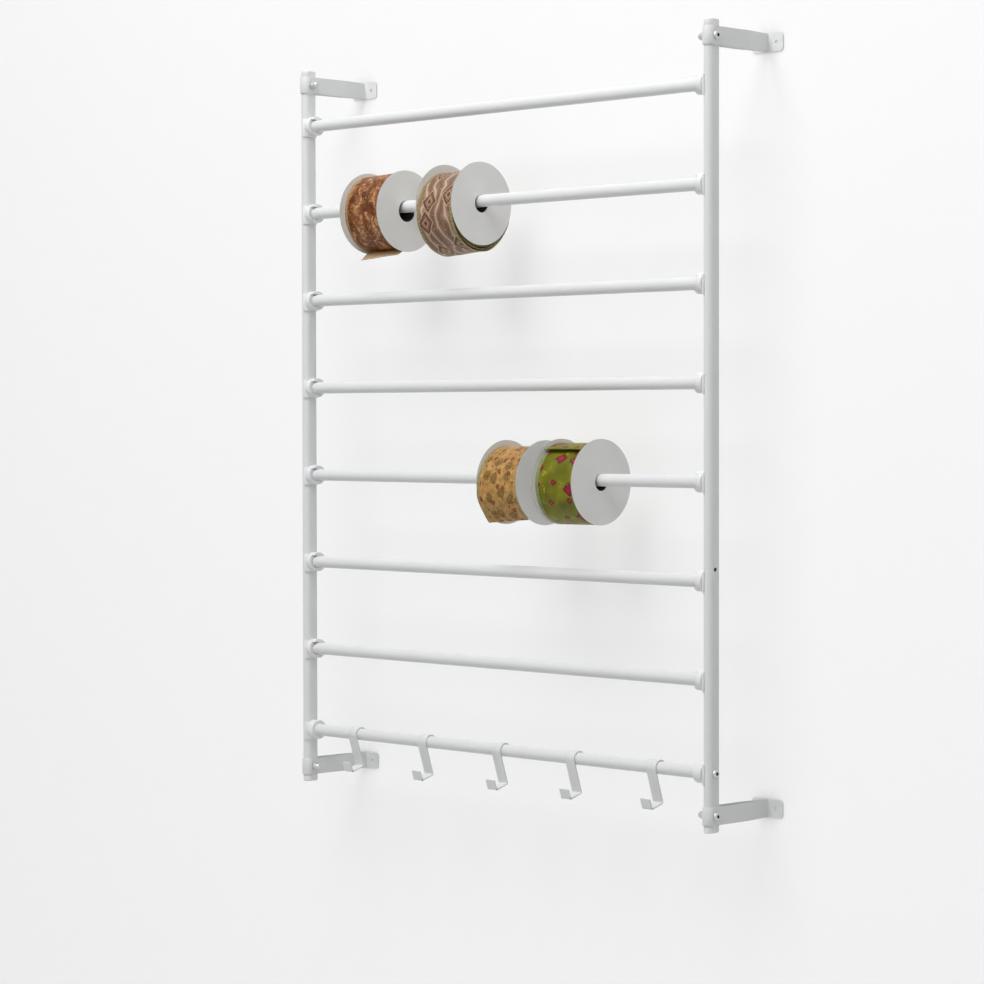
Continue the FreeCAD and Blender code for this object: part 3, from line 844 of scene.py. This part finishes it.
def quarter_round(height, radius, bulge, steps=7):
    """Rings that close in over a quarter circle, from a height and radius."""
    turns = [math.radians(90 * k / steps) for k in range(steps + 1)]
    return [
        (height + bulge * math.sin(t), radius - bulge + bulge * math.cos(t)) for t in turns]


def button_head(shank_radius, shank_length):
    """Heights and radii of a shank and a domed head with a hexagon socket."""
    side = hexagon(SOCKET_FLATS)
    return [
        (-shank_length, shank_radius - POINT), (-shank_length + POINT, shank_radius),
        (0, shank_radius),
        (0, HEAD_RADIUS - 0.2), (0.25, HEAD_RADIUS),
        *quarter_round(HEAD_RIM, HEAD_RADIUS, HEAD_HEIGHT - HEAD_RIM),
        (HEAD_HEIGHT, 2.55), (HEAD_HEIGHT - 0.25, side), (SOCKET_FLOOR, side),
        (SOCKET_FLOOR - 0.3, 0.6),
    ]


def cap_nut():
    """Heights and radii of a hexagon nut with a domed cap."""
    sides = chamfered(NUT_FLATS, NUT_CORNERS)
    return [
        (0, chamfered(NUT_FLATS, NUT_ENDS)), (0.4, sides), (NUT_HEIGHT - 0.5, sides),
        (NUT_HEIGHT, NUT_ENDS), (NUT_HEIGHT, CAP_RADIUS + 0.15), (NUT_HEIGHT + 0.4, CAP_RADIUS),
        *quarter_round(CAP_RIM, CAP_RADIUS, CAP_BULGE), (CAP_TOP, 0.05),
    ]


def fastener_group(name, replaced, profile, seat, outward, heights, materials, recess_rings=0):
    """Like fasteners on both posts, each along X from its seat, joined in one piece for their
    node.
    The last rings of the profile may be a recess, which takes the second material, the painted
    shade of the socket."""
    low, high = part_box(replaced)
    recess_faces = recess_rings * FASTENER_SEGMENTS
    vertices = []
    faces = []
    finishes = []
    for side in (-1, 1):
        for z in heights:
            centre = Vector((0, (low.y + high.y) / 2, z))
            rings = [(side * (seat + outward * height * MM), radius) for height, radius in profile]
            corners, sides = revolved(rings, centre, FASTENER_SEGMENTS)
            faces += [[index + len(vertices) for index in face] for face in sides]
            vertices += corners
            plated_faces = len(sides) - 2 - recess_faces
            finishes += [0] * plated_faces + [1] * recess_faces + [0, min(1, recess_rings)]
    piece = new_piece(name, vertices, faces, materials, finishes=finishes)
    for polygon in piece.data.polygons:
        polygon.use_smooth = len(polygon.vertices) == 4
    piece.data.set_sharp_from_angle(angle=math.radians(FASTENER_SHARP_EDGE))
    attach(piece, "rack")
    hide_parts(replaced)


# ---------------------------------------------------------------- operators
class DISPENSER_OT_steelwork(bpy.types.Operator):
    """Powder-coats the posts, wall straps, rods and hooks."""

    bl_idname = "dispenser.steelwork"
    bl_label = "Steelwork"

    def execute(self, context):
        tubes = ["%s_post" % side for side in SIDES] + ["rod_%d" % n for n in RODS]
        tubes += ["bottom_rod"]
        bent = ["%s_%s_bracket" % (side, end) for side in SIDES for end in ("upper", "lower")]
        bent += ["hook_%d" % n for n in HOOKS]
        coat(tubes + bent, powder_coated_steel())
        round_edges(bent, context.scene.dispenser_finish.edge_round)
        return {"FINISHED"}


class DISPENSER_OT_mouldings(bpy.types.Operator):
    """Finishes the end caps, rod holders and bottom sockets."""

    bl_idname = "dispenser.mouldings"
    bl_label = "Mouldings"

    def execute(self, context):
        moulded = ["%s_%s_cap" % (side, end) for side in SIDES for end in ("top", "bottom")]
        moulded += ["%s_holder_%d" % (side, n) for side in SIDES for n in RODS]
        moulded += ["%s_bottom_socket" % side for side in SIDES]
        coat(moulded, moulded_nylon())
        round_edges(moulded, context.scene.dispenser_finish.edge_round)
        return {"FINISHED"}


class DISPENSER_OT_fasteners(bpy.types.Operator):
    """Sets the domed bolts and screws and the cap nuts."""

    bl_idname = "dispenser.fasteners"
    bl_label = "Fasteners"

    def execute(self, context):
        zinc = bright_zinc()
        # the second finish is painted shade in the sockets
        socketed = [zinc, painted_recess_shade()]
        strap_low, strap_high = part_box("left_upper_bracket")
        bolt_z = (strap_low.z + strap_high.z) / 2
        bolt_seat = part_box("bracket_bolts")[1].x - HEAD_HEIGHT * MM
        nut_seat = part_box("cap_nuts")[1].x
        shank = (bolt_seat - nut_seat) / MM + BOLT_PAST_NUT_SEAT
        fastener_group(
            "domed_bolts", "bracket_bolts", button_head(BOLT_RADIUS, shank), bolt_seat, 1,
            (bolt_z, -bolt_z), socketed, SOCKET_RINGS)
        fastener_group(
            "domed_nuts", "cap_nuts", cap_nut(), nut_seat, -1, (bolt_z, -bolt_z), [zinc])
        screws_low, screws_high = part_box("socket_screws")
        fastener_group(
            "domed_screws", "socket_screws", button_head(SCREW_RADIUS, SCREW_LENGTH),
            screws_high.x - HEAD_HEIGHT * MM, 1, ((screws_low.z + screws_high.z) / 2,), socketed,
            SOCKET_RINGS)
        return {"FINISHED"}


class DISPENSER_OT_spools(bpy.types.Operator):
    """Gives the spools' flanges their lined board and their cores chipboard tube."""

    bl_idname = "dispenser.spools"
    bl_label = "Spools"

    def execute(self, context):
        flanges = ["spool_%s_%s_flange" % (name, side) for name in SPOOLS for side in SIDES]
        coat(flanges, lined_board())
        coat(["spool_%s_core" % name for name in SPOOLS], spiral_tube())
        return {"FINISHED"}


class DISPENSER_OT_ribbons(bpy.types.Operator):
    """Winds each ribbon on its spool and leaves its free end loose."""

    bl_idname = "dispenser.ribbons"
    bl_label = "Ribbons"

    def execute(self, context):
        for name in SPOOLS:
            flange_low, flange_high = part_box("spool_%s_left_flange" % name)
            core_low, core_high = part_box("spool_%s_core" % name)
            low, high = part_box("ribbon_%s" % name)
            centre = (flange_low + flange_high) / 2
            core = (core_high.z - core_low.z) / 2 / MM
            finish = RIBBON_FINISHES[name]
            printed, reverse = [finish(high.x - low.x, back) for back in (False, True)]
            pack = ribbon_pack(name, core, centre, low.x, high.x, printed)
            strip, length = loose_end(name, centre, low.x, high.x, [printed, reverse])
            body = "spool_%s" % name
            for piece in (pack, strip):
                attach(piece, body)
            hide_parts("ribbon_%s" % name)
        return {"FINISHED"}


class DISPENSER_OT_stage(bpy.types.Operator):
    """Sets the camera, lamp, floor and a wall that shows only from its front."""

    bl_idname = "dispenser.stage"
    bl_label = "Stage"

    def execute(self, context):
        stage = context.scene.dispenser_stage
        camera = bpy.data.objects.new("camera", bpy.data.cameras.new("camera"))
        context.scene.collection.objects.link(camera)
        context.scene.camera = camera
        camera.data.lens = stage.lens
        camera.data.sensor_width = 36
        yaw, pitch, roll = stage.yaw, stage.pitch, stage.roll
        ahead = Vector((
            -math.sin(yaw) * math.cos(pitch), math.cos(yaw) * math.cos(pitch),
            -math.sin(pitch)))
        right = Vector((math.cos(yaw), math.sin(yaw), 0))
        up = right.cross(ahead)
        turned_right = right * math.cos(roll) + up * math.sin(roll)
        turned_up = up * math.cos(roll) - right * math.sin(roll)
        pose = Matrix((turned_right, turned_up, -ahead)).transposed().to_4x4()
        pose.translation = Vector(stage.eye)
        camera.matrix_world = pose
        self.light(context)
        self.backdrop()
        context.scene.view_settings.view_transform = "Standard"
        return {"FINISHED"}

    def light(self, context):
        """A dim, even room, and one large soft lamp above and in front."""
        stage = context.scene.dispenser_stage
        world = bpy.data.worlds.new("studio")
        context.scene.world = world
        world.use_nodes = True
        tree = world.node_tree
        room = tree.nodes["Background"]
        room.inputs["Color"].default_value = linear("#FCFDFF")
        room.inputs["Strength"].default_value = stage.room
        seen = add_node(tree, "ShaderNodeBackground", {
            "Color": linear("#ECEDED"), "Strength": 1.0}).outputs["Background"]
        rays = add_node(tree, "ShaderNodeLightPath").outputs
        shown = rays["Is Camera Ray"]
        for kind in ("Is Glossy Ray", "Is Transmission Ray"):
            shown = add_node(tree, "ShaderNodeMath", {
                0: shown, 1: rays[kind]}, operation="MAXIMUM").outputs[0]
        both = add_node(tree, "ShaderNodeMixShader", {
            0: shown, 1: room.outputs["Background"], 2: seen}).outputs["Shader"]
        tree.links.new(both, tree.nodes["World Output"].inputs["Surface"])
        lamp = bpy.data.lights.new("key", "AREA")
        lamp.shape = "DISK"
        lamp.size = stage.lamp_size
        lamp.energy = stage.lamp_power
        holder = bpy.data.objects.new("key", lamp)
        context.scene.collection.objects.link(holder)
        holder.location = stage.lamp_place
        holder.rotation_euler = (-Vector(stage.lamp_place)).to_track_quat("-Z", "Y").to_euler()

    def backdrop(self):
        """A floor, and the wall that the rack is screwed to."""
        floor_corners = [
            (x, y, FLOOR_HEIGHT)
            for x, y in ((-REACH, -REACH), (REACH, -REACH), (REACH, REACH), (-REACH, REACH))]
        wall_corners = [
            (x, 0, z) for x, z in (
                (-REACH, FLOOR_HEIGHT), (REACH, FLOOR_HEIGHT), (REACH, REACH), (-REACH, REACH))]
        quad = [(0, 1, 2, 3)]
        floor = new_piece("floor", floor_corners, quad, [matt_plaster(False)], smooth=False)
        wall = new_piece("wall", wall_corners, quad, [matt_plaster(True)], smooth=False)


class DISPENSER_PT_panel(bpy.types.Panel):
    """Lists what makes the dispenser."""

    bl_idname = "DISPENSER_PT_panel"
    bl_label = "Ribbon Spool Dispenser"
    bl_space_type = "VIEW_3D"
    bl_region_type = "UI"
    bl_category = "Dispenser"

    def draw(self, context):
        scene = context.scene
        for group in (scene.dispenser_finish, scene.dispenser_ribbon, scene.dispenser_stage):
            box = self.layout.box()
            for name in group.__annotations__:
                box.prop(group, name)
        for operator in OPERATORS:
            self.layout.operator(operator.bl_idname)


SETTINGS = {
    "dispenser_finish": FinishSettings,
    "dispenser_ribbon": RibbonSettings,
    "dispenser_stage": StageSettings,
}
OPERATORS = (
    DISPENSER_OT_steelwork,
    DISPENSER_OT_mouldings,
    DISPENSER_OT_fasteners,
    DISPENSER_OT_spools,
    DISPENSER_OT_ribbons,
    DISPENSER_OT_stage,
)
CLASSES = (*SETTINGS.values(), *OPERATORS, DISPENSER_PT_panel)


def register():
    """Adds the settings, operators and panel to Blender."""
    for cls in CLASSES:
        bpy.utils.register_class(cls)
    for name, group in SETTINGS.items():
        setattr(bpy.types.Scene, name, PointerProperty(type=group))


def unregister():
    """Takes them out again."""
    for name in SETTINGS:
        delattr(bpy.types.Scene, name)
    for cls in reversed(CLASSES):
        bpy.utils.unregister_class(cls)


def main():
    """Makes everything."""
    register()
    for operator in OPERATORS:
        group, name = operator.bl_idname.split(".")
        getattr(getattr(bpy.ops, group), name)()
    bpy.context.view_layer.update()


if __name__ == "__main__":
    main()
